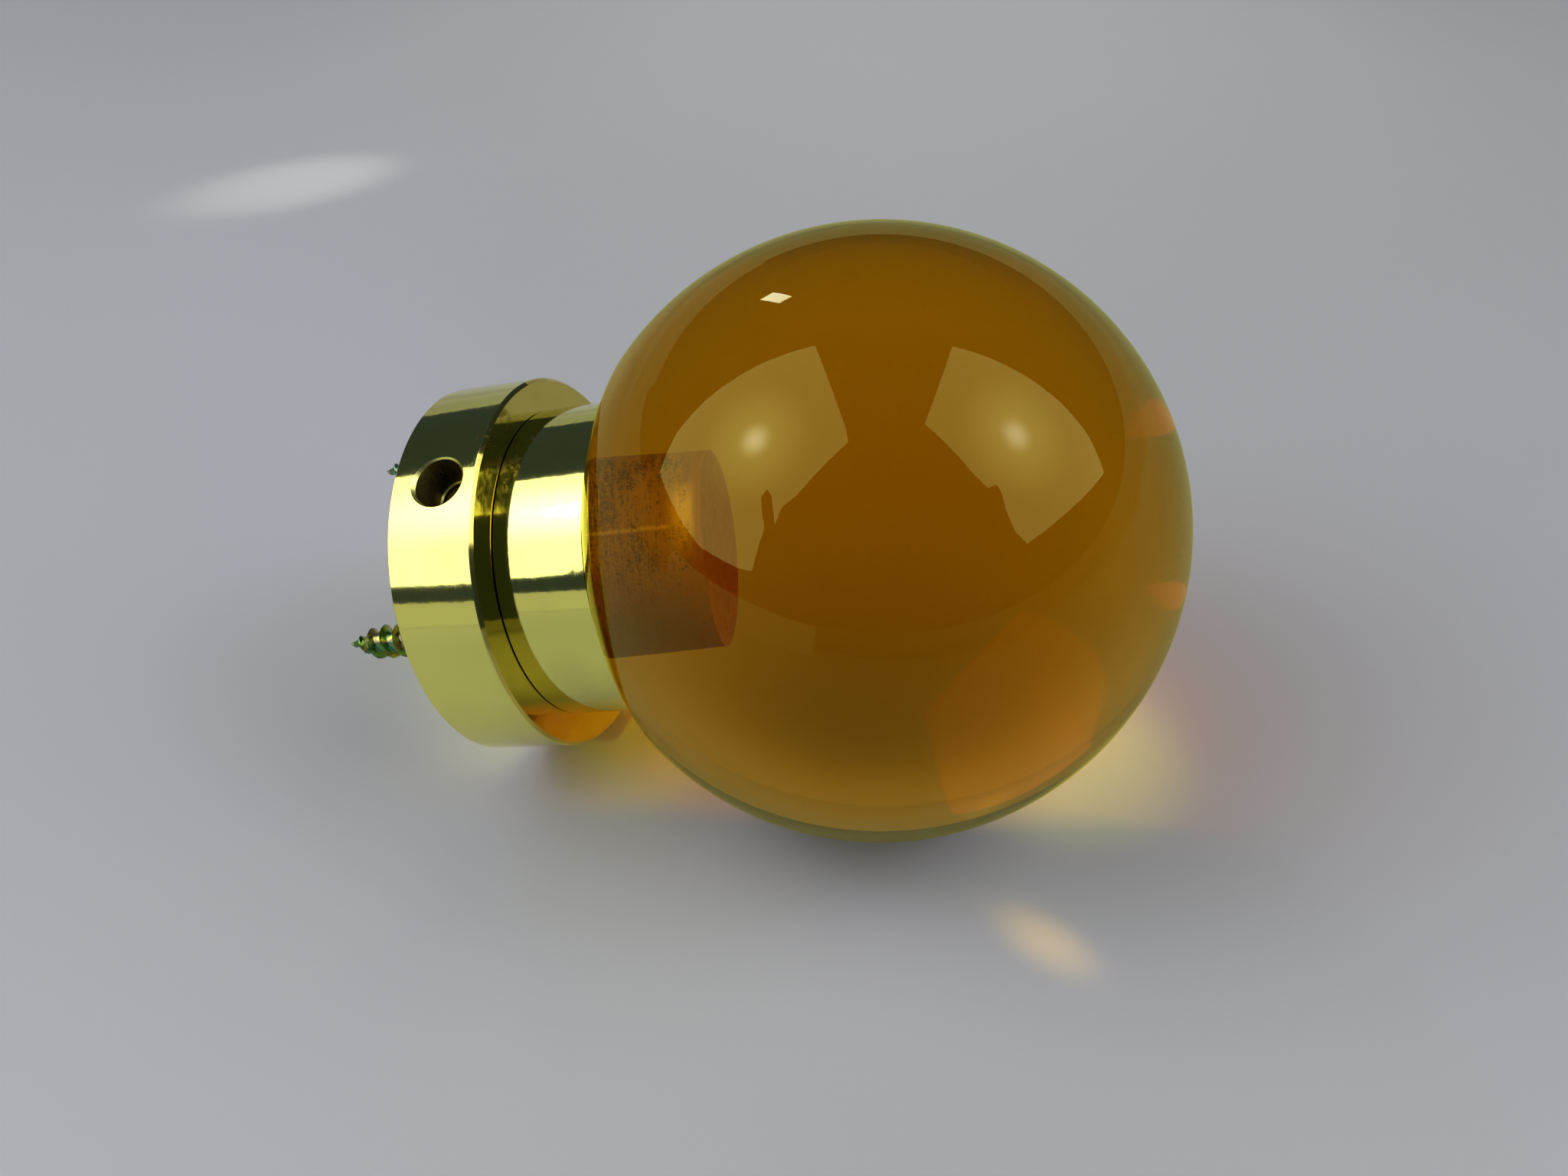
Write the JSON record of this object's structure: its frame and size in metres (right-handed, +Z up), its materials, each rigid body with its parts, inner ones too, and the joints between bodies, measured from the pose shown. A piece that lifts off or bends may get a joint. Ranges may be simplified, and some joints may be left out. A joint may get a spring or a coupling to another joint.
{
  "type": "ball knob",
  "caption": "Solid transparent amber ball on a polished brass neck and round rosette, fixed by wood screws and a side grub screw.",
  "frame": {"origin": "centre of the rosette's flat mounting face", "axes": "+Z up, +X level towards the ball; the knob lies on its ball and on the rear rim of its rosette, so its own axis rises 14.88 degrees from +X, along (0.96646, 0, 0.25681)"},
  "size_m": [0.1089, 0.076, 0.076],
  "materials": {
    "brass": "polished and lacquered pale brass",
    "inner_brass": "turned, not polished",
    "yellow_zinc": "yellow zinc plating with a green and purple sheen",
    "black_steel": "black oxide",
    "steel": "plain",
    "cement": "brown resin cement with grains and bubbles",
    "amber": "clear gloss amber acrylic"
  },
  "bodies": {
    "rosette": {"rosette": "brass"},
    "wood_screw_1": {"wood_screw_1": "yellow_zinc"},
    "wood_screw_2": {"wood_screw_2": "yellow_zinc"},
    "wood_screw_3": {"wood_screw_3": "yellow_zinc"},
    "grub_screw": {"grub_screw": "black_steel"},
    "knob": {"neck_collar": "brass", "centre_screw": "steel", "ball_insert": "inner_brass", "cement_sleeve": "cement", "amber_ball": "amber"}
  },
  "joints": [
    {"name": "wood_screw_1_turn", "type": "hinge", "parent": "rosette", "child": "wood_screw_1", "pos_m": [-0.00024, -0.01507, 0.00089], "axis": [0.9665, 0, 0.2568], "continuous": true},
    {"name": "wood_screw_2_turn", "type": "hinge", "parent": "rosette", "child": "wood_screw_2", "pos_m": [0.00347, 0.00674, -0.01306], "axis": [0.9665, 0, 0.2568], "continuous": true},
    {"name": "wood_screw_3_turn", "type": "hinge", "parent": "rosette", "child": "wood_screw_3", "pos_m": [-0.00323, 0.00833, 0.01217], "axis": [0.9665, 0, 0.2568], "continuous": true},
    {"name": "grub_screw_back_out", "type": "slide", "parent": "rosette", "child": "grub_screw", "axis": [-0.2298, -0.4462, 0.8649], "range_m": [0, 0.005]},
    {"name": "knob_pull_off", "type": "slide", "parent": "rosette", "child": "knob", "axis": [0.9665, 0, 0.2568], "range_m": [0, 0.012]}
  ]
}
